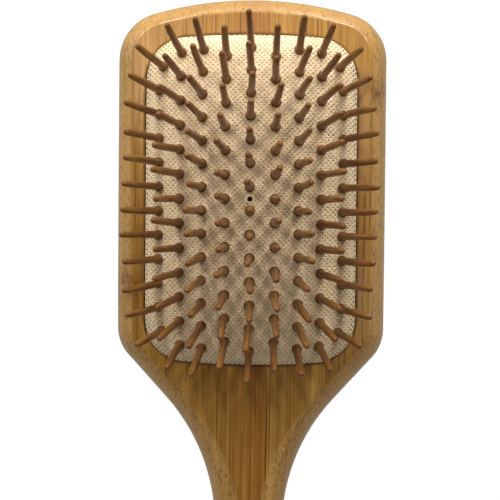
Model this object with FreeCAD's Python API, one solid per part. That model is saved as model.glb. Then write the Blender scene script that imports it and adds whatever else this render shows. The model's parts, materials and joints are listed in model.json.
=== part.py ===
"""Paddle hair brush: a bamboo board, an air cushion of rubber and wooden pins.

The brush lies on its back.  +Z points out of the pins, +Y towards the top of the
head and +X to the right when looking down on the pins.  The origin is at the middle
of the bounding box's underside.  Lengths are in millimetres and angles in degrees.
"""
import FreeCAD, Part
import math
import os
import random

from FreeCAD import Placement, Rotation, Vector

# Board
OVERALL_LENGTH = 250.0
BOARD_THICKNESS = 16.0
BACK_ROUND = 4.8
FACE_SKIM = 1.43                # planed off the blank's face, so the round-over meets it in a crease
CREASE_ROUND = 1.4

# Outline of the board, with y measured from the cushion's centre
HEAD_HALF_WIDTH = 41.5
HEAD_TOP_TO_CUSHION = 62.2
HEAD_CROWN_RADIUS = 110.0
HEAD_CROWN_TURN = 16.0          # how far the crown turns on each side of the middle
HEAD_CORNER = 14.9
SHOULDER_Y = -44.7
SHOULDER_RADIUS = 13.0
SHOULDER_LENGTH = 33.9          # from the shoulder's corner down to the neck's
NECK_HALF_WIDTH = 10.45
NECK_RADIUS = 58.0
WAIST_Y = -113.0
WAIST_RADIUS = 120.0
HANDLE_HALF_WIDTH = 14.2
HANDLE_WIDEST_Y = -156.0
HANDLE_RADIUS = 110.0
HANDLE_TAPER = 1.2              # how much narrower each side is at the handle's end
HANDLE_END_CORNER = 12.0

# Radius of the front round-over down the board: distance from the cushion's centre, radius
FRONT_ROUND = [(45.0, 10.7), (-22.0, 10.7), (-50.0, 12.2), (-100.0, 9.0), (-130.0, 9.0), (-150.0, 10.2)]

# Cushion opening and the pocket under it
OPENING_HALF_WIDTH = 32.2
OPENING_HALF_LENGTH = 50.25
OPENING_CORNER = 13.0
OPENING_CROWN_RADIUS = 220.0    # its two short sides are slightly arched
OPENING_CROWN_TURN = 5.2
LIP_DEPTH = 2.5
GROOVE_HEIGHT = 2.0
GROOVE_REACH = 1.7              # how far the groove runs under the lip
CHAMBER_INSET = 3.5
CHAMBER_FLOOR = 7.5
LIP_ROUND = 0.5

# Rubber cushion
DOME_HEIGHT = 10.0
DOME_HALF_WIDTH = 34.5          # where the crown's cross curve would meet the face
DOME_HALF_LENGTH = 53.5
DOME_POWER_ACROSS = 2.61
DOME_POWER_ALONG = 3.04
SHOULDER_DROP = 2.3             # how far the rim rolls down at the opening's wall
SHOULDER_SOFTNESS = 1.1
RUBBER_THICKNESS = 1.6
CUSHION_SIDE_GAP = 0.35
WALL_THICKNESS = 1.8
FLANGE_REACH = 1.5
FLANGE_GAP = 0.1
VENT_DIAMETER = 1.6
SURFACE_STEP = 1.2
SURFACE_MARGIN = 0.6            # how far the modelled surface passes the opening's wall
SURFACE_DEPTH = 40.0

# Pins, measured along the pin from the cushion's surface
PIN_LENGTH = 18.15
PIN_TIP_RADIUS = 0.92
PIN_SHAFT_RADIUS = 1.12
PIN_COLLAR_RADIUS = 1.55
PIN_COLLAR_LENGTH = 0.9
PIN_FLARE_END = 1.6
PIN_NECK_RADIUS = 1.2
PIN_BULB_RADIUS = 1.9
PIN_BULB_TOP = -1.95
PIN_BULB_BOTTOM = -3.5
COLLAR_LIFT = 0.08
HEEL_FULLNESS = 0.85
HOLE_CLEARANCE = 0.05
HOLE_CUT_BELOW = 4.0
HOLE_CUT_ABOVE = 3.0
LEAN_SPREAD = 1.3               # how unevenly the pins stand, standard deviation
LEAN_LIMIT = 2.4
LEAN_SEED = 5
CORNER_PIN_INSET = 0.9

# Pin columns from the middle outwards: distance from the middle, number of pins and
# distance from the cushion's centre to the column's last pin.
PIN_COLUMNS = [
    (0.0, 14, 45.1),
    (7.3, 13, 42.3),
    (14.2, 14, 44.4),
    (20.8, 13, 43.6),
    (27.2, 12, 39.5),
]
SEGMENT_NAMES = ["top", "middle", "bottom"]

OVERCUT = 5.0                   # how far a cutting shape passes what it cuts
OVERLAP = 0.5
TOLERANCE = 1e-3
SLOPE_STEP = 0.05               # for measuring the dome's slope
DIAGONAL = math.sqrt(0.5)

CUSHION_Y = OVERALL_LENGTH / 2 - HEAD_TOP_TO_CUSHION
FACE_Z = BOARD_THICKNESS
HANDLE_END = CUSHION_Y + OVERALL_LENGTH / 2


def rounded_wire(corners, z):
    """A closed wire, alike on both sides of the Y axis, at height z.

    corners holds (x, y, radius) for the right half from top to bottom.  The first
    and last runs are level, and each corner is rounded by a tangent arc.
    """
    right = [(Vector(x, y + CUSHION_Y, z), radius) for x, y, radius in corners]
    left = [(Vector(-p.x, p.y, z), radius) for p, radius in reversed(right)]
    loop = right + left
    edges = []
    ends = []
    for i, (corner, radius) in enumerate(loop):
        before = (loop[i - 1][0] - corner).normalize()
        after = (loop[(i + 1) % len(loop)][0] - corner).normalize()
        half = before.getAngle(after) / 2
        reach = radius / math.tan(half)
        bisector = (before + after).normalize()
        middle = corner + bisector * (radius / math.sin(half) - radius)
        start = corner + before * reach
        end = corner + after * reach
        edges.append(Part.Arc(start, middle, end).toShape())
        ends.append((start, end))
    for i, (start, end) in enumerate(ends):
        following = ends[(i + 1) % len(ends)][0]
        if (following - end).Length > TOLERANCE:
            edges.append(Part.makeLine(end, following))
    return Part.Wire(Part.__sortEdges__(edges))


def crown_corner(radius, turn, half_width, y):
    """Where a crown of the given radius and turn leaves the level, and where it ends."""
    reach = radius * math.tan(math.radians(turn) / 2)
    end_y = y - math.tan(math.radians(turn)) * (half_width - reach)
    return reach, end_y


def board_wire(z):
    """The paddle's outline: crowned head, sloping shoulders, waisted handle."""
    crown_reach, corner_y = crown_corner(
        HEAD_CROWN_RADIUS, HEAD_CROWN_TURN, HEAD_HALF_WIDTH, HEAD_TOP_TO_CUSHION
    )
    corners = [
        (crown_reach, HEAD_TOP_TO_CUSHION, HEAD_CROWN_RADIUS),
        (HEAD_HALF_WIDTH, corner_y, HEAD_CORNER),
        (HEAD_HALF_WIDTH, SHOULDER_Y, SHOULDER_RADIUS),
        (NECK_HALF_WIDTH, SHOULDER_Y - SHOULDER_LENGTH, NECK_RADIUS),
        (NECK_HALF_WIDTH, WAIST_Y, WAIST_RADIUS),
        (HANDLE_HALF_WIDTH, HANDLE_WIDEST_Y, HANDLE_RADIUS),
        (HANDLE_HALF_WIDTH - HANDLE_TAPER, -HANDLE_END, HANDLE_END_CORNER),
    ]
    return rounded_wire(corners, z)


def opening_wire(z):
    """The outline of the cushion's opening, a tall rounded rectangle."""
    crown_reach, corner_y = crown_corner(
        OPENING_CROWN_RADIUS, OPENING_CROWN_TURN, OPENING_HALF_WIDTH, OPENING_HALF_LENGTH
    )
    corners = [
        (crown_reach, OPENING_HALF_LENGTH, OPENING_CROWN_RADIUS),
        (OPENING_HALF_WIDTH, corner_y, OPENING_CORNER),
        (OPENING_HALF_WIDTH, -corner_y, OPENING_CORNER),
        (crown_reach, -OPENING_HALF_LENGTH, OPENING_CROWN_RADIUS),
    ]
    return rounded_wire(corners, z)


def opening_prism(offset, z_low, z_high):
    """A prism of the opening's outline, grown by offset all round."""
    face = Part.Face(opening_wire(z_low))
    if offset:
        face = face.makeOffset2D(offset)
    return face.extrude(Vector(0, 0, z_high - z_low))


def front_round_at(y):
    """Radius of the front round-over at y, eased from one stated place to the next."""
    along = y - CUSHION_Y
    if along >= FRONT_ROUND[0][0]:
        return FRONT_ROUND[0][1]
    for (high, above), (low, below) in zip(FRONT_ROUND, FRONT_ROUND[1:]):
        if along >= low:
            share = (high - along) / (high - low)
            return above + (below - above) * share * share * (3 - 2 * share)
    return FRONT_ROUND[-1][1]


def round_over(blank):
    """Round the blank's edges: unevenly in front, evenly at the back."""
    document = FreeCAD.newDocument("board")
    base = document.addObject("Part::Feature", "blank")
    base.Shape = blank
    fillet = document.addObject("Part::Fillet", "rounded")
    fillet.Base = base
    rows = []
    for number, edge in enumerate(blank.Edges, start=1):
        box = edge.BoundBox
        if box.ZMax - box.ZMin > TOLERANCE:
            continue
        if box.ZMin > FACE_Z / 2:
            first = edge.valueAt(edge.FirstParameter)
            last = edge.valueAt(edge.LastParameter)
            rows.append((number, front_round_at(first.y), front_round_at(last.y)))
        else:
            rows.append((number, BACK_ROUND, BACK_ROUND))
    fillet.Edges = rows
    document.recompute()
    rounded = fillet.Shape.copy()
    FreeCAD.closeDocument("board")
    return rounded


def make_board():
    """The bamboo paddle: rounded blank, planed face and stepped pocket."""
    blank = Part.Face(board_wire(0.0)).extrude(Vector(0, 0, FACE_Z + FACE_SKIM))
    board = round_over(blank)
    corner = Vector(-OVERALL_LENGTH / 2, -OVERALL_LENGTH, FACE_Z)
    board = board.cut(Part.makeBox(OVERALL_LENGTH, 2 * OVERALL_LENGTH, OVERCUT, corner))
    crease = [edge for edge in board.Edges if edge.BoundBox.ZMin > FACE_Z - TOLERANCE]
    board = board.makeFillet(CREASE_ROUND, crease)
    groove_top = FACE_Z - LIP_DEPTH
    groove_floor = groove_top - GROOVE_HEIGHT
    board = board.cut(opening_prism(0.0, groove_top - OVERLAP, FACE_Z + OVERCUT))
    board = board.cut(opening_prism(GROOVE_REACH, groove_floor, groove_top))
    board = board.cut(opening_prism(-CHAMBER_INSET, CHAMBER_FLOOR, groove_top))
    lip = []
    for edge in board.Edges:
        box = edge.BoundBox
        centre = edge.CenterOfMass
        across = abs(centre.x) < OPENING_HALF_WIDTH + OVERLAP
        along = abs(centre.y - CUSHION_Y) < OPENING_HALF_LENGTH + OVERLAP
        if box.ZMin > FACE_Z - TOLERANCE and across and along:
            lip.append(edge)
    return board.makeFillet(LIP_ROUND, lip)


def wall_distance(x, y):
    """How far inside the opening's wall a point lies, negative outside it."""
    across = abs(x) - (OPENING_HALF_WIDTH - OPENING_CORNER)
    along = abs(y) - (OPENING_HALF_LENGTH - OPENING_CORNER)
    outside = math.hypot(max(across, 0.0), max(along, 0.0))
    inside = min(max(across, along), 0.0)
    return OPENING_CORNER - outside - inside


def dome_z(x, y):
    """Height of the cushion's outer surface, with y measured from its centre."""
    across = 1 - abs(x / DOME_HALF_WIDTH) ** DOME_POWER_ACROSS
    along = 1 - abs(y / DOME_HALF_LENGTH) ** DOME_POWER_ALONG
    roll = 1 + math.exp(wall_distance(x, y) / SHOULDER_SOFTNESS)
    return FACE_Z + DOME_HEIGHT * across * along - 2 * SHOULDER_DROP / roll


def dome_normal(x, y):
    """The unit normal of the cushion's outer surface."""
    slope_x = (dome_z(x + SLOPE_STEP, y) - dome_z(x - SLOPE_STEP, y)) / (2 * SLOPE_STEP)
    slope_y = (dome_z(x, y + SLOPE_STEP) - dome_z(x, y - SLOPE_STEP)) / (2 * SLOPE_STEP)
    return Vector(-slope_x, -slope_y, 1).normalize()


def below_dome(drop):
    """A block whose top is the dome surface, lowered by drop."""
    half_x = OPENING_HALF_WIDTH + SURFACE_MARGIN
    half_y = OPENING_HALF_LENGTH + SURFACE_MARGIN
    count_x = 2 * round(half_x / SURFACE_STEP) + 1
    count_y = 2 * round(half_y / SURFACE_STEP) + 1
    grid = []
    for i in range(count_x):
        x = half_x * (2 * i / (count_x - 1) - 1)
        row = []
        for j in range(count_y):
            y = half_y * (2 * j / (count_y - 1) - 1)
            row.append(Vector(x, y + CUSHION_Y, dome_z(x, y) - drop))
        grid.append(row)
    surface = Part.BSplineSurface()
    surface.interpolate(grid)
    return surface.toShape().extrude(Vector(0, 0, -SURFACE_DEPTH))


def pin_places():
    """For each column from left to right, its pins as (root, direction) from the top."""
    noise = random.Random(LEAN_SEED)
    columns = []
    last = len(PIN_COLUMNS) - 1
    for number in range(-last, last + 1):
        distance, count, reach = PIN_COLUMNS[abs(number)]
        side = -1 if number < 0 else 1
        pins = []
        for k in range(count):
            share = 1 - 2 * k / (count - 1)
            x = side * distance
            if abs(number) == last and k in (0, count - 1):
                x -= side * CORNER_PIN_INSET
            y = reach * share
            lean_x, lean_y = [
                max(-LEAN_LIMIT, min(LEAN_LIMIT, noise.gauss(0, LEAN_SPREAD))) for _ in range(2)
            ]
            tilt = Rotation(Vector(0, 1, 0), lean_x).multiply(Rotation(Vector(1, 0, 0), lean_y))
            direction = tilt.multVec(dome_normal(x, y))
            pins.append((Vector(x, y + CUSHION_Y, dome_z(x, y)), direction))
        columns.append(pins)
    return columns


def make_cushion(columns):
    """The hollow rubber cushion with its flange, pin holes and vent."""
    foot = FACE_Z - LIP_DEPTH - GROOVE_HEIGHT + FLANGE_GAP
    flange_top = FACE_Z - LIP_DEPTH - FLANGE_GAP
    top = FACE_Z + DOME_HEIGHT + OVERCUT
    outer = opening_prism(-CUSHION_SIDE_GAP, foot, top).common(below_dome(0.0))
    inner = opening_prism(-CUSHION_SIDE_GAP - WALL_THICKNESS, foot - OVERCUT, top)
    inner = inner.common(below_dome(RUBBER_THICKNESS))
    flange = opening_prism(FLANGE_REACH, foot, flange_top)
    cushion = outer.fuse(flange).cut(inner)
    cushion = cushion.cut(
        opening_prism(-CUSHION_SIDE_GAP - WALL_THICKNESS, foot - OVERCUT, foot + OVERLAP)
    )
    cutters = []
    for pins in columns:
        for root, direction in pins:
            start = root - direction * HOLE_CUT_BELOW
            length = HOLE_CUT_BELOW + HOLE_CUT_ABOVE
            cutters.append(
                Part.makeCylinder(PIN_NECK_RADIUS + HOLE_CLEARANCE, length, start, direction)
            )
    vent_low = Vector(0, CUSHION_Y, FACE_Z)
    cutters.append(Part.makeCylinder(VENT_DIAMETER / 2, DOME_HEIGHT + OVERCUT, vent_low))
    return cushion.cut(cutters).removeSplitter()


def make_pin():
    """One pin standing on the origin: bulb, neck, flared collar, tapered shaft, tip."""
    bulb_middle = (PIN_BULB_TOP + PIN_BULB_BOTTOM) / 2
    tip_base = PIN_LENGTH - PIN_TIP_RADIUS
    diagonal = PIN_TIP_RADIUS * DIAGONAL
    points = [
        Vector(PIN_BULB_RADIUS, 0, bulb_middle),
        Vector(PIN_BULB_RADIUS, 0, PIN_BULB_TOP),
        Vector(PIN_NECK_RADIUS, 0, PIN_BULB_TOP),
        Vector(PIN_NECK_RADIUS, 0, COLLAR_LIFT),
        Vector(PIN_COLLAR_RADIUS, 0, COLLAR_LIFT),
        Vector(PIN_COLLAR_RADIUS, 0, PIN_COLLAR_LENGTH),
        Vector(PIN_SHAFT_RADIUS, 0, PIN_FLARE_END),
        Vector(PIN_TIP_RADIUS, 0, tip_base),
    ]
    edges = [Part.makeLine(a, b) for a, b in zip(points, points[1:])]
    tip_middle = Vector(diagonal, 0, tip_base + diagonal)
    tip = Vector(0, 0, PIN_LENGTH)
    edges.append(Part.Arc(points[-1], tip_middle, tip).toShape())
    heel = Vector(0, 0, PIN_BULB_BOTTOM)
    edges.append(Part.makeLine(tip, heel))
    bulb_drop = bulb_middle - PIN_BULB_BOTTOM
    heel_middle = Vector(PIN_BULB_RADIUS * DIAGONAL, 0, bulb_middle - bulb_drop * HEEL_FULLNESS)
    edges.append(Part.Arc(heel, heel_middle, points[0]).toShape())
    face = Part.Face(Part.Wire(Part.__sortEdges__(edges)))
    return face.revolve(Vector(0, 0, 0), Vector(0, 0, 1), 360)


def segments(pins):
    """Split a column into its top, middle and bottom pins."""
    end = round(len(pins) / len(SEGMENT_NAMES))
    return [pins[:end], pins[end:-end], pins[-end:]]


def save(shape, name):
    shape.exportStep("parts/" + name + ".step")


def main():
    os.makedirs("parts", exist_ok=True)
    columns = pin_places()
    save(make_board(), "bamboo_paddle")
    save(make_cushion(columns), "rubber_cushion")
    pin = make_pin()
    for number, pins in enumerate(columns, start=1):
        for segment_name, segment in zip(SEGMENT_NAMES, segments(pins)):
            solids = []
            for root, direction in segment:
                turn = Rotation(Vector(0, 0, 1), direction)
                solids.append(pin.transformed(Placement(root, turn).toMatrix(), copy=True))
            save(Part.Compound(solids), "pin_column_%d_%s" % (number, segment_name))


main()
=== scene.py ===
"""Looks of a bamboo paddle brush: oiled bamboo, knurled rubber cushion, turned wooden pins.

Lengths are in metres unless a comment says mm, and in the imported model's frame: the brush
lies on its back with its pins along +Z and the top of its head towards +Y.
"""
import json
import math
import random

import bmesh
import bpy
import numpy as np
from mathutils import Matrix, Vector, kdtree


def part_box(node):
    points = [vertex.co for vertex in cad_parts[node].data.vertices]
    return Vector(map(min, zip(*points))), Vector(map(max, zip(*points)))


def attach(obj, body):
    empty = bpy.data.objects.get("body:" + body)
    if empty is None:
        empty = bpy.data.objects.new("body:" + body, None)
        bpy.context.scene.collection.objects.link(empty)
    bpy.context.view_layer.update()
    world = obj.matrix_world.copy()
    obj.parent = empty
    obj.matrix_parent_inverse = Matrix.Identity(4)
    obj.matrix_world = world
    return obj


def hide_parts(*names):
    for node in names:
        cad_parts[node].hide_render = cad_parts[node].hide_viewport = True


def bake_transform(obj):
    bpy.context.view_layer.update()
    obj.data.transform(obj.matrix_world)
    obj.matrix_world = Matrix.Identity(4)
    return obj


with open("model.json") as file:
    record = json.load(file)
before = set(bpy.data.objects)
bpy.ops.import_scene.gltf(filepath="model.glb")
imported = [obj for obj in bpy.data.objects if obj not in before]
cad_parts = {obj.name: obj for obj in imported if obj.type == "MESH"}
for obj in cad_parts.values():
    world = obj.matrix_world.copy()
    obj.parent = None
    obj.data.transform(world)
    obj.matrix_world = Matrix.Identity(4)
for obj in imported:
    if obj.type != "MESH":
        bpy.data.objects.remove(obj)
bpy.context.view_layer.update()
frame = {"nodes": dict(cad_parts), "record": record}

MM = 0.001
_, board_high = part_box("bamboo_paddle")
cushion_low, cushion_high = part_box("rubber_cushion")
FACE_Z = board_high.z
CUSHION_Y = (cushion_low.y + cushion_high.y) / 2

# Cushion opening, measured from the cushion's centre
OPENING_HALF_WIDTH = 32.2 * MM
OPENING_HALF_LENGTH = 50.25 * MM
OPENING_CORNER = 13.0 * MM
OPENING_CROWN = 220.0 * MM
OPENING_CROWN_TURN = math.radians(5.2)
SIDE_GAP = 0.35 * MM
OUTLINE_STEP = 0.25 * MM

# Crown of the cushion
DOME_HEIGHT = 10.0 * MM
DOME_HALF_WIDTH = 34.5 * MM
DOME_HALF_LENGTH = 53.5 * MM
DOME_POWER_ACROSS = 2.61
DOME_POWER_ALONG = 3.04
SHOULDER_DROP = 2.3 * MM
SHOULDER_SOFTNESS = 1.1 * MM
RUBBER_THICKNESS = 1.6 * MM
FLANGE_TOP = FACE_Z - 2.65 * MM
FLANGE_BOTTOM = FACE_Z - 4.35 * MM
FLANGE_REACH = 1.75 * MM
WALL_THICKNESS = 1.8 * MM
UNDERSIDE_RINGS = 25            # from the wall inwards
UNDERSIDE_END = 0.04            # size of the last one, as a share of the first

# Knurling: a lattice of ridges at 45 degrees round pyramid-shaped pits
KNURL_PITCH = 1.08 * MM
KNURL_RIDGE = 0.27 * MM
KNURL_DEPTH = 0.45 * MM
RIM_MARGIN = 2 * MM             # lattice points further outside the opening are left out
RIM_CLEARANCE = 0.08 * MM       # points outside, or nearer the rim than this, move onto it
RIM_MERGE = 0.02 * MM           # points on the rim nearer one another than this become one
VENT_RADIUS = 0.8 * MM
VENT_LAND = 1.35 * MM

# Turned pins, measured along the pin from the cushion's surface
PIN_LENGTH = 18.15 * MM
PIN_HOLE_RADIUS = 1.25 * MM
PIN_LAND = 1.7 * MM
PIN_SOCKET_DEPTH = 1.2 * MM
PIN_SIDES = 20
PIN_PROFILE = [
    (-3.50, 0.00), (-3.42, 0.80), (-3.10, 1.50), (-2.70, 1.84), (-2.30, 1.86), (-2.02, 1.70),
    (-1.96, 1.24), (-1.60, 1.18), (0.02, 1.18), (0.07, 1.36), (0.11, 1.46), (0.22, 1.53),
    (0.50, 1.55), (0.88, 1.54), (1.02, 1.48), (1.08, 1.38), (1.16, 1.25), (1.34, 1.17),
    (2.40, 1.12), (5.00, 1.09), (8.50, 1.06), (12.0, 1.02), (15.2, 0.97), (16.4, 0.94),
    (17.0, 0.90), (17.4, 0.84), (17.7, 0.74), (17.93, 0.58), (18.07, 0.38), (18.13, 0.18),
    (18.15, 0.00),
]
PIN_SHAFT = (1.6, 17.5)         # mm along the pin, between the collar and the tip

# How unevenly the pins are turned
PIN_SEED = 21
PIN_BEND = 0.16                 # mm at most to each side and up or down, half way along
PIN_OVAL = (0.97, 1.03)
PIN_WAVES = 2
PIN_WAVE_SIZE = (0.006, 0.016)  # as a share of the radius
PIN_WAVE_RATE = (0.8, 2.2)      # radians per mm
PIN_WAVE_PHASE = (0, 6)
PIN_GRAIN_SHIFT = 50            # mm at most, so that each pin has its own grain
WELD = 0.001 * MM               # to which the places of CAD vertices are compared


# ---------------------------------------------------------------- node materials

class Shader:
    """A node material with short helpers for the nodes that it uses."""

    def __init__(self, name):
        self.material = bpy.data.materials.new(name)
        self.material.use_nodes = True
        self.tree = self.material.node_tree
        self.bsdf = self.tree.nodes["Principled BSDF"]

    def node(self, kind, **settings):
        made = self.tree.nodes.new(kind)
        for key, value in settings.items():
            setattr(made, key, value)
        return made

    def link(self, source, target):
        """Connects an output, or sets a plain number or colour."""
        if isinstance(source, (int, float, tuple)):
            target.default_value = source
        else:
            self.tree.links.new(source, target)

    def math(self, operation, a, b=0.0):
        made = self.node("ShaderNodeMath", operation=operation)
        for value, socket in zip((a, b), made.inputs):
            self.link(value, socket)
        return made.outputs[0]

    def plus(self, a, b):
        return self.math("ADD", a, b)

    def minus(self, a, b):
        return self.math("SUBTRACT", a, b)

    def times(self, a, b):
        return self.math("MULTIPLY", a, b)

    def over(self, a, b):
        return self.math("DIVIDE", a, b)

    def position_mm(self, attribute=None):
        """Object coordinates in millimetres, or a vector attribute as it is."""
        if attribute:
            return self.node("ShaderNodeAttribute", attribute_name=attribute).outputs["Vector"]
        made = self.node("ShaderNodeVectorMath", operation="SCALE")
        self.link(self.node("ShaderNodeTexCoord").outputs["Object"], made.inputs[0])
        made.inputs["Scale"].default_value = 1 / MM
        return made.outputs[0]

    def split(self, vector):
        made = self.node("ShaderNodeSeparateXYZ")
        self.link(vector, made.inputs[0])
        return made.outputs

    def join(self, x, y, z):
        made = self.node("ShaderNodeCombineXYZ")
        for value, socket in zip((x, y, z), made.inputs):
            self.link(value, socket)
        return made.outputs[0]

    def noise(self, vector, scale, detail, roughness=0.5, distortion=0.0):
        made = self.node("ShaderNodeTexNoise")
        self.link(vector, made.inputs["Vector"])
        made.inputs["Scale"].default_value = scale
        made.inputs["Detail"].default_value = detail
        made.inputs["Roughness"].default_value = roughness
        made.inputs["Distortion"].default_value = distortion
        return made.outputs[0]

    def random_of(self, value, seed):
        """A random number from 0 to 1 that stays the same for the same value and seed."""
        made = self.node("ShaderNodeTexWhiteNoise", noise_dimensions="2D")
        self.link(self.join(value, seed, 0.0), made.inputs["Vector"])
        return made.outputs["Value"]

    def ramp(self, value, low, high, to_low=0.0, to_high=1.0):
        """A smooth step from to_low at low to to_high at high, where low may be the larger."""
        made = self.node("ShaderNodeMapRange", interpolation_type="SMOOTHSTEP")
        self.link(value, made.inputs["Value"])
        settings = (("From Min", low), ("From Max", high), ("To Min", to_low), ("To Max", to_high))
        for name, number in settings:
            self.link(number, made.inputs[name])
        return made.outputs[0]

    def mix(self, factor, a, b):
        made = self.node("ShaderNodeMix", data_type="RGBA")
        self.link(factor, made.inputs["Factor"])
        for value, name in ((a, "A"), (b, "B")):
            socket = [s for s in made.inputs if s.name == name and s.type == "RGBA"][0]
            if isinstance(value, tuple) and len(value) == 3:
                value = value + (1.0,)
            self.link(value, socket)
        return [s for s in made.outputs if s.type == "RGBA"][0]

    def paint(self, colour, layers):
        """Lays colours over one another, each through its own mask."""
        for mask, layer in layers:
            colour = self.mix(mask, colour, layer)
        return colour

    def bump(self, height, distance, strength):
        made = self.node("ShaderNodeBump")
        made.inputs["Strength"].default_value = strength
        made.inputs["Distance"].default_value = distance
        self.link(height, made.inputs["Height"])
        self.link(made.outputs[0], self.bsdf.inputs["Normal"])

    def set(self, **values):
        for name, value in values.items():
            self.link(value, self.bsdf.inputs[name.replace("_", " ")])


STRIP_WIDTH = 5.6       # mm, of the bamboo strips the board is glued from
STRIP_SWAY = 1.4        # mm that the strips wander, from side to side
STRIP_SHIFT = 40.0      # mm at most between the grain of one strip and of the next
TONE_SEED = 3.7
SHIFT_SEED = 9.1
SEAM = (0.485, 0.498)   # where a glue line begins, from the strip's middle, as a share of its width
KNOT_RISE = 3.0         # mm that a knot's band climbs across a strip
KNOT_SQUARENESS = 6.0   # the power that makes a knot's band end abruptly at its sides
WOOD_RELIEF = 0.03 * MM
WOOD_RELIEF_STRENGTH = 0.8
RUBBER_RELIEF = 0.015 * MM
RUBBER_RELIEF_STRENGTH = 0.5
RED_STRIPS = [(-1, 0.65), (0, 1.0)]  # number and share of the two redder strips at the middle
BOARD_TOP = FACE_Z / MM
CUT_DEPTH = (0.02, 0.50)  # mm from either face, where the rounded edges cut into the fibres
FRONT_FADE = (BOARD_TOP - 6.0, BOARD_TOP - 4.0)  # keeps what is drawn on the front off the back
EDGE_SHADE_WIDTH = 1.1  # mm of painted shade on the wood along the opening
# The neck's side is an arc: its radius, and its centre's distance from the cushion's centre, in mm
NECK_RADIUS = 58.0
NECK_CENTRE_X = 68.45
NECK_CENTRE_DOWN = 101.2
NECK_ARC_END = 39.0     # mm up from the centre's height
NECK_FADE_IN = (-14.0, 0.0)
NECK_FADE_OUT = (50.0, 38.0)
NECK_SANDED = 7.6       # mm in from the neck's side that are sanded through the fibres
NECK_BLUR = 0.9
KNOTS = [               # x, y, half width and half height in mm
    (-39.0, 36.0, 7.0, 5.0), (-20.0, -14.0, 4.0, 3.5), (7.0, -66.0, 5.0, 4.0),
    (36.5, 96.0, 4.5, 3.5), (-9.0, 92.0, 5.0, 4.0), (19.0, 24.0, 5.0, 4.0),
]


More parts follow.
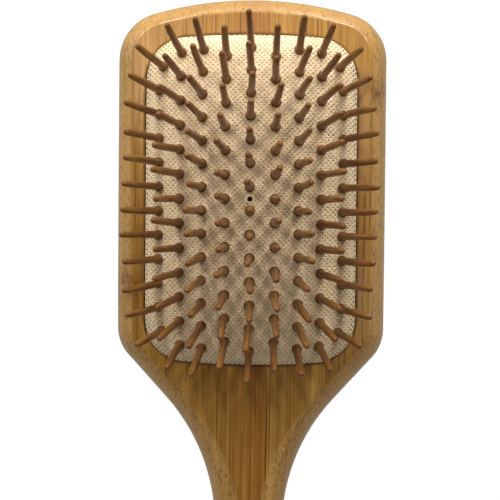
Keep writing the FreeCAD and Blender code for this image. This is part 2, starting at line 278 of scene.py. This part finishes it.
def bamboo_material():
    """Edge-glued bamboo: strips, long fibre streaks, vascular bundles and a few knots."""
    s = Shader("oiled_bamboo")
    x, y, z = s.split(s.position_mm())
    sway = s.noise(s.join(s.times(x, 0.05), s.times(y, 0.012), 0.0), 1.0, 1.0)
    true_x = x
    x = s.plus(x, s.times(s.minus(sway, 0.5), STRIP_SWAY))
    lane = s.over(x, STRIP_WIDTH)
    strip = s.math("FLOOR", lane)
    across = s.minus(lane, strip)
    tone = s.random_of(strip, TONE_SEED)
    in_red = 0.0
    for number, share in RED_STRIPS:
        is_strip = s.math("LESS_THAN", s.math("ABSOLUTE", s.minus(strip, float(number))), 0.5)
        in_red = s.plus(in_red, s.times(is_strip, share))
    shift = s.times(s.random_of(strip, SHIFT_SEED), STRIP_SHIFT)
    shifted_x = s.plus(x, shift)

    def streaks(width, length, detail, roughness):
        vector = s.join(
            s.over(shifted_x, width),
            s.over(y, length),
            s.over(z, width),
        )
        return s.noise(vector, 1.0, detail, roughness)

    def bundles(width, length, smallest, largest):
        """Fibre bundles seen as streaks along the board and as specks across its curves."""
        cells = s.node("ShaderNodeTexVoronoi", feature="F1")
        vector = s.join(
            s.over(shifted_x, width),
            s.over(s.plus(y, shift), length),
            s.over(z, width),
        )
        s.link(vector, cells.inputs["Vector"])
        cells.inputs["Scale"].default_value = 1.0
        pick = s.split(cells.outputs["Color"])[0]
        size = s.ramp(pick, 0.3, 1.0, smallest, largest)
        return s.ramp(s.over(cells.outputs["Distance"], size), 1.0, 0.62)

    # Widths and lengths in mm, then the noise's detail and roughness
    bands = streaks(2.6, 120.0, 3.0, 0.6)
    lines = streaks(0.55, 60.0, 4.0, 0.65)
    fibres = streaks(0.15, 11.0, 3.0, 0.7)
    # Widths and lengths in mm, then the smallest and largest size as shares of the width
    veins = bundles(0.95, 60.0, 0.02, 0.40)
    hairs = bundles(0.45, 34.0, 0.02, 0.40)
    specks = bundles(0.44, 1.8, 0.15, 0.52)
    # The rounded edges cut through the fibres, and the flat face and the flat back don't
    shallow, deep = CUT_DEPTH
    front_cut = s.ramp(z, BOARD_TOP - shallow, BOARD_TOP - deep)
    cut = s.math("MINIMUM", front_cut, s.ramp(z, shallow, deep))
    on_front = s.ramp(z, *FRONT_FADE)

    # At the neck the sanding reaches further in, measured from the arc of its side
    up_neck = s.plus(s.minus(y, CUSHION_Y / MM), NECK_CENTRE_DOWN)
    climb = s.math("MINIMUM", s.math("MAXIMUM", up_neck, 0.0), NECK_ARC_END)
    chord = s.math("SQRT", s.minus(NECK_RADIUS ** 2, s.times(climb, climb)))
    from_side = s.minus(s.minus(NECK_CENTRE_X, chord), s.math("ABSOLUTE", true_x))
    beside_neck = s.times(s.ramp(up_neck, *NECK_FADE_IN), s.ramp(up_neck, *NECK_FADE_OUT))
    near_side = s.ramp(from_side, NECK_SANDED + NECK_BLUR, NECK_SANDED - NECK_BLUR)
    cut = s.math("MAXIMUM", cut, s.times(s.times(beside_neck, near_side), on_front))

    # Distance from the opening's edge, whose short sides are slightly arched
    straight_x = (OPENING_HALF_WIDTH - OPENING_CORNER) / MM
    straight_y = (OPENING_HALF_LENGTH - OPENING_CORNER) / MM
    beside = s.minus(s.math("ABSOLUTE", true_x), straight_x)
    arch = s.times(s.times(true_x, true_x), MM / (2 * OPENING_CROWN))
    from_middle = s.math("ABSOLUTE", s.minus(y, CUSHION_Y / MM))
    above = s.minus(s.plus(from_middle, arch), straight_y)
    past = s.math("POWER", s.math("MAXIMUM", beside, 0.0), 2.0)
    past = s.plus(past, s.math("POWER", s.math("MAXIMUM", above, 0.0), 2.0))
    inward = s.math("MINIMUM", s.math("MAXIMUM", beside, above), 0.0)
    margin = s.plus(s.math("SQRT", past), inward)
    # Painted shade along the opening's edge, kept to the front
    edge = s.ramp(s.minus(margin, OPENING_CORNER / MM), EDGE_SHADE_WIDTH, 0.0)
    edge = s.times(edge, on_front)

    knots = None
    for knot_x, knot_y, half_width, half_height in KNOTS:
        bent = s.plus(y, s.times(s.minus(across, 0.5), KNOT_RISE))
        up = s.over(s.minus(bent, knot_y), half_height)
        side = s.over(s.minus(x, knot_x), half_width)
        square = s.plus(s.times(up, up), s.math("POWER", s.math("ABSOLUTE", side), KNOT_SQUARENESS))
        knot = s.math("EXPONENT", s.times(square, -1.0))
        knots = knot if knots is None else s.plus(knots, knot)
    mottle_place = s.join(s.times(x, 0.8), s.times(y, 0.24), z)
    mottle = s.noise(mottle_place, 1.0, 4.0, 0.7, 0.6)
    mottle_spots = s.join(s.times(x, 0.9), s.times(y, 0.55), z)
    knots = s.times(knots, s.ramp(mottle, 0.36, 0.60, 0.15, 1.0))

    seam = s.ramp(s.math("ABSOLUTE", s.minus(across, 0.5)), *SEAM)

    redness = s.times(in_red, s.ramp(lines, 0.30, 0.62, 0.30, 0.95))
    speck_share = s.times(specks, s.plus(s.times(cut, 0.72), 0.10))
    spots = s.times(knots, s.ramp(s.noise(mottle_spots, 1.0, 2.0), 0.58, 0.66))
    colour = s.mix(s.ramp(bands, 0.34, 0.66), (0.40, 0.206, 0.036), (0.61, 0.345, 0.078))
    colour = s.paint(colour, [
        (s.times(tone, 0.50), (0.35, 0.170, 0.028)),                    # each strip's own tone
        (redness, (0.35, 0.130, 0.018)),                                # the redder strips
        (s.ramp(lines, 0.48, 0.66, 0.0, 0.75), (0.27, 0.110, 0.014)),   # long dark lines
        (s.ramp(fibres, 0.45, 0.75, 0.0, 0.45), (0.28, 0.120, 0.018)),  # dark fibres
        (s.ramp(fibres, 0.45, 0.25, 0.0, 0.40), (0.80, 0.47, 0.11)),    # light fibres
        (s.times(veins, 0.80), (0.170, 0.052, 0.007)),                  # broad bundles
        (s.times(hairs, 0.55), (0.180, 0.062, 0.009)),                  # fine bundles
        (s.times(cut, 0.42), (0.64, 0.405, 0.165)),                     # pale wood that is cut across
        (speck_share, (0.150, 0.058, 0.011)),                           # bundles that are cut across
        (s.times(seam, 0.40), (0.17, 0.070, 0.014)),                    # glue lines
        (s.times(knots, 0.80), (0.20, 0.085, 0.014)),
        (s.times(spots, 0.85), (0.075, 0.026, 0.006)),                  # dark spots in the knots
        (s.times(edge, 0.60), (0.17, 0.066, 0.012)),                    # shade along the opening
    ])
    rough = s.plus(s.times(lines, 0.16), 0.36)
    rough = s.plus(rough, s.times(specks, 0.10))
    s.set(Base_Color=colour, Roughness=rough)
    s.set(Coat_Weight=0.65, Coat_Roughness=0.21, Coat_IOR=1.55, Specular_IOR_Level=0.22)
    height = s.minus(s.times(fibres, 0.5), s.times(specks, 0.5))
    height = s.minus(height, s.times(veins, 0.4))
    s.bump(height, WOOD_RELIEF, WOOD_RELIEF_STRENGTH)
    return s.material


def rubber_material():
    """Natural rubber: cream, matte and faintly mottled, with painted shade in the pits, darkest at
    the rim.
    """
    s = Shader("cream_rubber")
    place = s.position_mm()
    clouds = s.noise(place, 0.09, 3.0, 0.55)
    grains = s.noise(place, 2.6, 3.0, 0.6)
    specks = s.noise(place, 0.9, 2.0, 0.5, 0.6)
    pit = s.node("ShaderNodeAttribute", attribute_name="pit").outputs["Fac"]
    # Painted shade: the pits darken further towards the cushion's rim
    rim = s.times(pit, s.ramp(s.split(place)[2], BOARD_TOP + 1.7, BOARD_TOP + 0.5))
    colour = s.mix(s.ramp(clouds, 0.3, 0.7), (0.88, 0.720, 0.490), (0.96, 0.805, 0.575))
    colour = s.paint(colour, [
        (s.ramp(grains, 0.48, 0.75, 0.0, 0.14), (0.66, 0.50, 0.30)),
        (s.ramp(specks, 0.66, 0.74, 0.0, 0.12), (0.55, 0.40, 0.23)),
        # painted shade in the knurl's pits
        (s.times(pit, 0.42), (0.45, 0.26, 0.10)),
        # painted shade in the pits near the rim
        (s.times(rim, 0.85), (0.06, 0.028, 0.012)),
    ])
    rough = s.ramp(grains, 0.3, 0.7, 0.72, 0.86)
    s.set(Base_Color=colour, Roughness=rough, Specular_IOR_Level=0.12)
    s.bump(grains, RUBBER_RELIEF, RUBBER_RELIEF_STRENGTH)
    return s.material


def pin_material():
    """Stained wood turned along the grain. pin_place is measured in each pin's own frame."""
    s = Shader("stained_pin_wood")
    x, y, z = s.split(s.position_mm("pin_place"))
    tone = s.node("ShaderNodeAttribute", attribute_name="pin_tone").outputs["Fac"]
    grain = s.noise(s.join(s.times(x, 2.2), y, s.times(z, 0.10)), 1.0, 3.0, 0.6)
    fibre_place = s.join(s.times(x, 7.0), s.times(y, 7.0), s.times(z, 0.35))
    fibres = s.noise(fibre_place, 1.0, 3.0, 0.65)
    rings = s.noise(s.join(0.0, s.times(tone, 31.0), s.times(z, 6.0)), 1.0, 2.0, 0.6)
    colour = s.mix(tone, (0.225, 0.092, 0.021), (0.325, 0.155, 0.038))
    colour = s.paint(colour, [
        (s.ramp(grain, 0.42, 0.66, 0.0, 0.75), (0.130, 0.042, 0.010)),
        (s.ramp(fibres, 0.52, 0.78, 0.0, 0.70), (0.088, 0.026, 0.007)),
        (s.ramp(fibres, 0.45, 0.25, 0.0, 0.40), (0.430, 0.225, 0.070)),
        (s.ramp(z, 0.2, 1.6, 0.60, 0.0), (0.090, 0.030, 0.008)),        # darker foot: part stain, part painted shade where the pin meets the cushion
        (s.ramp(z, 17.2, 18.0, 0.0, 0.45), (0.130, 0.045, 0.012)),      # dark tip
    ])
    rough = s.ramp(grain, 0.3, 0.7, 0.30, 0.48)
    s.set(Base_Color=colour, Roughness=rough, Specular_IOR_Level=0.28)
    s.set(Coat_Weight=0.12, Coat_Roughness=0.2)
    height = s.plus(s.times(fibres, 0.7), s.times(rings, 0.35))
    s.bump(height, WOOD_RELIEF, WOOD_RELIEF_STRENGTH)
    return s.material


def pale_material(name, grey):
    """A plain pale surface that glows as a light table does, and reflects this share of light."""
    s = Shader(name)
    s.set(Base_Color=(grey, grey, grey, 1.0), Roughness=0.9, Specular_IOR_Level=0.0)
    s.set(Emission_Color=(1.0, 1.0, 1.0, 1.0), Emission_Strength=0.97)
    return s.material


# ---------------------------------------------------------------- mesh helpers

def new_piece(name, vertices, faces, material):
    mesh = bpy.data.meshes.new(name)
    mesh.from_pydata([tuple(v) for v in vertices], [], [tuple(f) for f in faces])
    mesh.validate()
    mesh.polygons.foreach_set("use_smooth", [True] * len(mesh.polygons))
    mesh.materials.append(material)
    piece = bpy.data.objects.new(name, mesh)
    bpy.context.scene.collection.objects.link(piece)
    return piece


# ---------------------------------------------------------------- cushion

def dome_height(x, y):
    """Height of the crown at x, y from the cushion's centre, for arrays."""
    across = 1 - np.abs(x / DOME_HALF_WIDTH) ** DOME_POWER_ACROSS
    along = 1 - np.abs(y / DOME_HALF_LENGTH) ** DOME_POWER_ALONG
    side = np.abs(x) - (OPENING_HALF_WIDTH - OPENING_CORNER)
    end = np.abs(y) - (OPENING_HALF_LENGTH - OPENING_CORNER)
    outside = np.hypot(np.maximum(side, 0), np.maximum(end, 0))
    inside = np.minimum(np.maximum(side, end), 0)
    distance = OPENING_CORNER - outside - inside
    roll = 1 + np.exp(distance / SHOULDER_SOFTNESS)
    return FACE_Z + DOME_HEIGHT * across * along - 2 * SHOULDER_DROP / roll


def opening_outline(inset):
    """Points round the opening, and their outward normals, moved inwards by inset."""
    reach = OPENING_CROWN * math.tan(OPENING_CROWN_TURN / 2)
    fall = math.tan(OPENING_CROWN_TURN) * (OPENING_HALF_WIDTH - reach)
    corner_y = OPENING_HALF_LENGTH - fall
    quarter = [
        ((reach, OPENING_HALF_LENGTH), OPENING_CROWN),
        ((OPENING_HALF_WIDTH, corner_y), OPENING_CORNER),
    ]
    right = quarter + [((x, -y), r) for (x, y), r in reversed(quarter)]
    loop = right + [((-x, y), r) for (x, y), r in reversed(right)]
    points = []
    for i, (corner, radius) in enumerate(loop):
        corner = Vector(corner)
        before = (Vector(loop[i - 1][0]) - corner).normalized()
        after = (Vector(loop[(i + 1) % len(loop)][0]) - corner).normalized()
        half = before.angle(after) / 2
        centre = corner + (before + after).normalized() * radius / math.sin(half)
        start = corner + before * radius / math.tan(half) - centre
        turn = math.pi - 2 * half
        count = max(2, math.ceil(turn * radius / OUTLINE_STEP))
        for k in range(count + 1):
            angle = -turn * k / count
            spoke = Vector((start.x * math.cos(angle) - start.y * math.sin(angle),
                            start.x * math.sin(angle) + start.y * math.cos(angle)))
            points.append(centre + spoke)
    dense = []
    for a, b in zip(points, points[1:] + points[:1]):
        count = max(1, math.ceil((b - a).length / OUTLINE_STEP))
        dense += [a.lerp(b, k / count) for k in range(count)]
    dense = np.array([tuple(p) for p in dense])
    along = np.roll(dense, -1, 0) - np.roll(dense, 1, 0)
    along /= np.linalg.norm(along, axis=1)[:, None]
    normals = np.column_stack((-along[:, 1], along[:, 0]))
    return dense - normals * inset, normals


def lattice():
    """A grid turned by 45 degrees: its x, y and how deep it lies in the knurling."""
    reach = OPENING_HALF_WIDTH + OPENING_HALF_LENGTH
    count = math.ceil(reach / math.sqrt(2) / KNURL_PITCH) + 1
    lines = []
    for k in range(-count, count + 1):
        start = k * KNURL_PITCH
        lines += [start - KNURL_RIDGE / 2, start + KNURL_RIDGE / 2, start + KNURL_PITCH / 2]
    lines = np.array(lines)
    in_pit = np.arange(len(lines)) % 3 == 2
    u, v = np.meshgrid(lines, lines, indexing="ij")
    depth = np.where(in_pit[:, None] & in_pit[None, :], KNURL_DEPTH, 0.0)
    return (u - v) / math.sqrt(2), (u + v) / math.sqrt(2), depth


def make_cushion(pins, material):
    """The knurled cushion: crown with sockets and vent, side wall, flange and underside."""
    x, y, depth = lattice()
    rows, columns = x.shape
    rim, rim_normals = opening_outline(SIDE_GAP)
    tree = kdtree.KDTree(len(rim))
    for i, point in enumerate(rim):
        tree.insert((point[0], point[1], 0.0), i)
    tree.balance()
    flat_x, flat_y, flat_depth = x.ravel(), y.ravel(), depth.ravel()
    inside = np.zeros(len(flat_x), bool)
    nearest = np.zeros(len(flat_x), int)
    near = np.abs(flat_x) < OPENING_HALF_WIDTH + RIM_MARGIN
    near &= np.abs(flat_y) < OPENING_HALF_LENGTH + RIM_MARGIN
    for i in np.flatnonzero(near):
        _, k, _ = tree.find((flat_x[i], flat_y[i], 0.0))
        nearest[i] = k
        off_x, off_y = flat_x[i] - rim[k, 0], flat_y[i] - rim[k, 1]
        off = off_x * rim_normals[k, 0] + off_y * rim_normals[k, 1]
        inside[i] = off < -RIM_CLEARANCE

    holes = [(0.0, 0.0, VENT_RADIUS, VENT_LAND, None)]
    for pin in pins:
        root = pin["root"]
        holes.append((root.x, root.y - CUSHION_Y, PIN_HOLE_RADIUS, PIN_LAND, pin["direction"]))
    hole_of = np.full(len(flat_x), -1)
    for number, (hx, hy, radius, land, _) in enumerate(holes):
        distance = np.hypot(flat_x - hx, flat_y - hy)
        hole_of[distance < radius] = number
        flat_depth[distance < land] = 0.0

    index = np.arange(rows * columns).reshape(rows, columns)
    quads = np.stack((index[:-1, :-1], index[1:, :-1], index[1:, 1:], index[:-1, 1:]), -1)
    quads = quads.reshape(-1, 4)
    keep = inside[quads].any(1) & near[quads].all(1) & (hole_of[quads] < 0).all(1)
    quads = quads[keep]
    used = np.unique(quads)
    for i in used[~inside[used]]:
        flat_x[i], flat_y[i] = rim[nearest[i]]
        flat_depth[i] = 0.0
    new_index = np.full(rows * columns, -1)
    new_index[used] = np.arange(len(used))
    depths = flat_depth[used]
    height = dome_height(flat_x[used], flat_y[used]) - depths

    mesh = bmesh.new()
    pit = mesh.verts.layers.float.new("pit")
    vertices = [
        mesh.verts.new((px, py + CUSHION_Y, pz))
        for px, py, pz in zip(flat_x[used], flat_y[used], height)
    ]
    for vertex, depth_here in zip(vertices, depths):
        vertex[pit] = depth_here / KNURL_DEPTH
    for quad in new_index[quads]:
        corners = [vertices[i] for i in quad]
        deepest = int(np.argmax(depths[quad]))
        if depths[quad[deepest]] > 0:
            a, b, c, d = corners[deepest:] + corners[:deepest]
            mesh.faces.new((a, b, c))
            mesh.faces.new((a, c, d))
        else:
            mesh.faces.new(corners)
    open_vertices = [v for v in mesh.verts if v.is_boundary]
    bmesh.ops.remove_doubles(mesh, verts=open_vertices, dist=RIM_MERGE)
    bmesh.ops.recalc_face_normals(mesh, faces=mesh.faces)
    loops = boundary_loops(mesh)
    loops.sort(key=len)
    outer = loops.pop()
    underside_vent = None
    for loop in loops:
        centre = sum((v.co for v in loop), Vector()) / len(loop)
        gaps = [math.hypot(hx - centre.x, hy + CUSHION_Y - centre.y) for hx, hy, *_ in holes]
        hx, hy, radius, _, direction = holes[int(np.argmin(gaps))]
        middle = Vector((hx, hy + CUSHION_Y))
        for vertex in loop:
            spoke = (vertex.co.xy - middle).normalized() * radius
            vertex.co.xy = middle + spoke
            here_x, here_y = np.array(vertex.co.x), np.array(vertex.co.y - CUSHION_Y)
            vertex.co.z = float(dome_height(here_x, here_y))
        if direction is None:
            underside_vent = ring_below(mesh, loop, Vector((0, 0, -RUBBER_THICKNESS)))
        else:
            mesh.faces.new(ring_below(mesh, loop, direction * -PIN_SOCKET_DEPTH))
    ring = outer
    order = [tree.find((v.co.x, v.co.y - CUSHION_Y, 0.0))[1] for v in outer]
    base = rim[order]
    normals = rim_normals[order]
    sections = [
        (0.0, FLANGE_TOP), (FLANGE_REACH, FLANGE_TOP), (FLANGE_REACH, FLANGE_BOTTOM),
        (-WALL_THICKNESS, FLANGE_BOTTOM), (-WALL_THICKNESS, None),
    ]
    for offset, level in sections:
        points = base + normals * offset
        if level is None:
            levels = dome_height(points[:, 0], points[:, 1]) - RUBBER_THICKNESS
        else:
            levels = np.full(len(points), level)
        ring = next_ring(mesh, ring, points, levels)
    inner = base - normals * WALL_THICKNESS
    for share in np.linspace(1, UNDERSIDE_END, UNDERSIDE_RINGS + 1)[1:]:
        points = inner * share
        levels = dome_height(points[:, 0], points[:, 1]) - RUBBER_THICKNESS
        ring = next_ring(mesh, ring, points, levels)
    bmesh.ops.bridge_loops(mesh, edges=ring_edges(mesh, ring) + ring_edges(mesh, underside_vent))
    bmesh.ops.recalc_face_normals(mesh, faces=mesh.faces)
    data = bpy.data.meshes.new("knurled_cushion")
    mesh.to_mesh(data)
    mesh.free()
    data.materials.append(material)
    piece = bpy.data.objects.new("knurled_cushion", data)
    bpy.context.scene.collection.objects.link(piece)
    return piece


def boundary_loops(mesh):
    """The open edges of a mesh as ordered lists of vertices."""
    follows = {}
    for edge in mesh.edges:
        if edge.is_boundary:
            corner = edge.link_loops[0]
            follows[corner.link_loop_next.vert] = corner.vert
    loops = []
    while follows:
        start = next(iter(follows))
        loop = []
        vertex = start
        while vertex in follows:
            loop.append(vertex)
            vertex = follows.pop(vertex)
        loops.append(loop)
    return loops


def ring_below(mesh, loop, step):
    """A copy of the loop moved by step and joined to it by faces."""
    ring = [mesh.verts.new(v.co + step) for v in loop]
    join_rings(mesh, loop, ring)
    return ring


def next_ring(mesh, loop, points, levels):
    """A ring at the given points and heights, joined to the loop by faces."""
    ring = [mesh.verts.new((p[0], p[1] + CUSHION_Y, z)) for p, z in zip(points, levels)]
    join_rings(mesh, loop, ring)
    return ring


def join_rings(mesh, first, second):
    for i in range(len(first)):
        j = (i + 1) % len(first)
        mesh.faces.new((first[i], first[j], second[j], second[i]))


def ring_edges(mesh, ring):
    return [mesh.edges.get((ring[i - 1], ring[i])) for i in range(len(ring))]


# ---------------------------------------------------------------- pins

def pin_axes(node):
    """Root and direction of every pin in a CAD node, from the long axis of its points and its tip."""
    mesh = node.data
    places = np.empty(len(mesh.vertices) * 3)
    mesh.vertices.foreach_get("co", places)
    places = places.reshape(-1, 3)
    _, same = np.unique(np.round(places / WELD).astype(np.int64), axis=0, return_inverse=True)
    same = same.ravel()
    edges = np.empty(len(mesh.edges) * 2, np.int64)
    mesh.edges.foreach_get("vertices", edges)
    edges = same[edges.reshape(-1, 2)]
    label = np.arange(same.max() + 1)
    while True:
        low = np.minimum(label[edges[:, 0]], label[edges[:, 1]])
        before = label.copy()
        np.minimum.at(label, edges[:, 0], low)
        np.minimum.at(label, edges[:, 1], low)
        label = label[label]
        if (label == before).all():
            break
    places = places[np.unique(same, return_index=True)[1]]
    axes = []
    for solid in np.unique(label):
        cloud = places[label == solid]
        centre = cloud.mean(0)
        direction = np.linalg.eigh(np.cov((cloud - centre).T))[1][:, -1]
        direction *= math.copysign(1, direction[2])
        tip = centre + direction * ((cloud - centre) @ direction).max()
        axes.append({"root": Vector(tip - direction * PIN_LENGTH), "direction": Vector(direction)})
    axes.sort(key=lambda pin: -pin["root"].y)
    return axes


def make_pins(name, pins, material, noise):
    """One piece of turned pins, each a little out of round and bent in its own way."""
    vertices, faces, places, tones = [], [], [], []
    for pin in pins:
        turn = Vector((0, 0, 1)).rotation_difference(pin["direction"]).to_matrix()
        bend = Vector((noise.uniform(-1, 1), noise.uniform(-1, 1), 0)) * PIN_BEND * MM
        oval = noise.uniform(*PIN_OVAL)
        spin = noise.uniform(0, math.tau)
        reach = PIN_GRAIN_SHIFT
        offset = Vector((noise.uniform(-reach, reach), noise.uniform(-reach, reach), 0))
        tone = noise.random()
        waves = [
            [noise.uniform(*limits) for limits in (PIN_WAVE_SIZE, PIN_WAVE_RATE, PIN_WAVE_PHASE)]
            for _ in range(PIN_WAVES)
        ]
        rings = []
        for s, radius in PIN_PROFILE:
            along = max(0.0, s) * MM / PIN_LENGTH
            centre = bend * math.sin(math.pi * along) + Vector((0, 0, s * MM))
            if PIN_SHAFT[0] < s < PIN_SHAFT[1]:
                radius *= 1 + sum(size * math.sin(rate * s + phase) for size, rate, phase in waves)
            if radius == 0:
                ring = [len(vertices)]
                local = [centre]
            else:
                ring = list(range(len(vertices), len(vertices) + PIN_SIDES))
                local = []
                for k in range(PIN_SIDES):
                    angle = spin + math.tau * k / PIN_SIDES
                    arm = Vector((math.cos(angle) * oval, math.sin(angle) / oval, 0))
                    local.append(centre + arm * radius * MM)
            rings.append(ring)
            for point in local:
                vertices.append(pin["root"] + turn @ point)
                places.append(point / MM + offset)
                tones.append(tone)
        for lower, upper in zip(rings, rings[1:]):
            for k in range(PIN_SIDES):
                j = (k + 1) % PIN_SIDES
                if len(lower) == 1:
                    faces.append((lower[0], upper[j], upper[k]))
                elif len(upper) == 1:
                    faces.append((lower[k], lower[j], upper[0]))
                else:
                    faces.append((lower[k], lower[j], upper[j], upper[k]))
    piece = new_piece(name, vertices, faces, material)
    place = piece.data.attributes.new("pin_place", "FLOAT_VECTOR", "POINT")
    place.data.foreach_set("vector", np.array([tuple(p) for p in places], np.float32).ravel())
    shade = piece.data.attributes.new("pin_tone", "FLOAT", "POINT")
    shade.data.foreach_set("value", np.array(tones, np.float32))
    return piece


# ---------------------------------------------------------------- the brush

bamboo = bamboo_material()
rubber = rubber_material()
pin_wood = pin_material()

paddle = frame["nodes"]["bamboo_paddle"]
paddle.data.materials.clear()
paddle.data.materials.append(bamboo)

noise = random.Random(PIN_SEED)
all_pins = []
for body, nodes in sorted(frame["record"]["behaviour"]["bodies"].items()):
    for node in nodes:
        if not node.startswith("pin_column"):
            continue
        pins = pin_axes(frame["nodes"][node])
        all_pins += pins
        piece = make_pins("turned_" + node.replace("pin_column", "pins"), pins, pin_wood, noise)
        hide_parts(node)
        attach(piece, body)

cushion = make_cushion(all_pins, rubber)
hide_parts("rubber_cushion")
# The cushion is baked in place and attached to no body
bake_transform(cushion)


# ---------------------------------------------------------------- floor, light and camera

FLOOR_HALF = 12.0
BACKDROP_RADIUS = 10.0
FLOOR_DROP = 0.2 * MM


def stage_piece(name, mesh, material):
    """Something pale for the camera alone: it neither lights, shades nor shows in the gloss."""
    mesh.materials.append(material)
    piece = bpy.data.objects.new(name, mesh)
    piece.visible_diffuse = False
    piece.visible_glossy = False
    piece.visible_shadow = False
    bpy.context.scene.collection.objects.link(piece)
    return piece


corners = [(-1, -1), (1, -1), (1, 1), (-1, 1)]
floor_mesh = bpy.data.meshes.new("floor")
floor_corners = [(a * FLOOR_HALF, b * FLOOR_HALF, -FLOOR_DROP) for a, b in corners]
floor_mesh.from_pydata(floor_corners, [], [(0, 1, 2, 3)])
stage_piece("floor", floor_mesh, pale_material("pale_floor", 0.12))
ball = bmesh.new()
bmesh.ops.create_icosphere(ball, subdivisions=4, radius=BACKDROP_RADIUS)
backdrop_mesh = bpy.data.meshes.new("backdrop")
ball.to_mesh(backdrop_mesh)
ball.free()
stage_piece("backdrop", backdrop_mesh, pale_material("pale_backdrop", 0.0))


def softbox(name, place, target, size, power, colour):
    data = bpy.data.lights.new(name, "AREA")
    data.shape = "RECTANGLE"
    data.size = size
    data.size_y = size
    data.energy = power
    data.color = colour
    light = bpy.data.objects.new(name, data)
    light.location = place
    light.rotation_mode = "QUATERNION"
    light.rotation_quaternion = (Vector(target) - Vector(place)).to_track_quat("-Z", "Y")
    bpy.context.scene.collection.objects.link(light)


head = Vector((0, CUSHION_Y, FACE_Z))

# Softboxes round the head: azimuth from +Y towards +X, elevation and watts
SOFTBOX_DISTANCE = 0.35
SOFTBOX_SIZE = 0.04
SOFTBOXES = [
    (-20, 30, 0.23), (20, 30, 0.25), (-38, 42, 0.21), (40, 42, 0.18), (0, 48, 0.04), (-45, 55, 0.11),
    (40, 55, 0.10), (-35, 72, 0.05), (55, 72, 0.04), (120, 72, 0.035), (0, 72, 0.015),
]
# Large low softboxes, in the same terms, whose reflections stay soft at a grazing angle
FILL_SIZE = 0.20
FILLS = [
    (-55, 17, 0.27), (0, 17, 0.33), (22, 17, 0.33), (180, 18, 0.18), (-90, 20, 0.07), (90, 20, 0.07),
]
LOW_COLOUR = (1.0, 0.985, 0.955)   # of a light on the horizon
HIGH_COLOUR = (1.0, 0.92, 0.81)    # of the highest
HIGHEST = max(elevation for _, elevation, _ in SOFTBOXES)
lamps = [(SOFTBOX_SIZE, box) for box in SOFTBOXES] + [(FILL_SIZE, box) for box in FILLS]
for number, (size, (azimuth, elevation, watts)) in enumerate(lamps):
    turn, rise = math.radians(azimuth), math.radians(elevation)
    away = Vector((math.sin(turn) * math.cos(rise), math.cos(turn) * math.cos(rise), math.sin(rise)))
    place = head + away * SOFTBOX_DISTANCE
    colour = Vector(LOW_COLOUR).lerp(Vector(HIGH_COLOUR), elevation / HIGHEST)
    softbox("softbox_%d" % number, place, head, size, watts, colour)

# A warm glow, strong from below and faint from above
GLOW_COLOUR = (1.0, 0.91, 0.77, 1.0)
GLOW_ABOVE = 0.02
GLOW_ADDED_BELOW = 0.44
world = bpy.data.worlds.new("studio")
world.use_nodes = True
sky = world.node_tree
background = sky.nodes["Background"]
direction = sky.nodes.new("ShaderNodeTexCoord")
height = sky.nodes.new("ShaderNodeSeparateXYZ")
sky.links.new(direction.outputs["Generated"], height.inputs[0])
below = sky.nodes.new("ShaderNodeMath")
below.operation = "LESS_THAN"
below.inputs[1].default_value = 0.0
sky.links.new(height.outputs["Z"], below.inputs[0])
glow = sky.nodes.new("ShaderNodeMath")
glow.operation = "MULTIPLY_ADD"
glow.inputs[1].default_value = GLOW_ADDED_BELOW
glow.inputs[2].default_value = GLOW_ABOVE
sky.links.new(below.outputs[0], glow.inputs[0])
sky.links.new(glow.outputs[0], background.inputs["Strength"])
background.inputs["Color"].default_value = GLOW_COLOUR
bpy.context.scene.world = world
bpy.context.scene.view_settings.view_transform = "Standard"

CAMERA_DISTANCE = 0.300
CAMERA_RIGHT = 6.9 * MM
CAMERA_UP = -10.7 * MM
AIM_RIGHT = -0.07 * MM
AIM_UP = -15.1 * MM
CAMERA_ROLL = math.radians(0.52)
LENS = 71.33

camera_data = bpy.data.cameras.new("camera")
camera_data.lens = LENS
camera = bpy.data.objects.new("camera", camera_data)
camera.location = head + Vector((CAMERA_RIGHT, CAMERA_UP, CAMERA_DISTANCE))
aim = head + Vector((AIM_RIGHT, AIM_UP, 0))
look = (aim - camera.location).normalized()
right = look.cross(Vector((0, 1, 0))).normalized()
basis = Matrix((right, right.cross(look), -look)).transposed()
camera.rotation_mode = "QUATERNION"
camera.rotation_quaternion = (basis @ Matrix.Rotation(CAMERA_ROLL, 3, "Z")).to_quaternion()
bpy.context.scene.collection.objects.link(camera)
bpy.context.scene.camera = camera
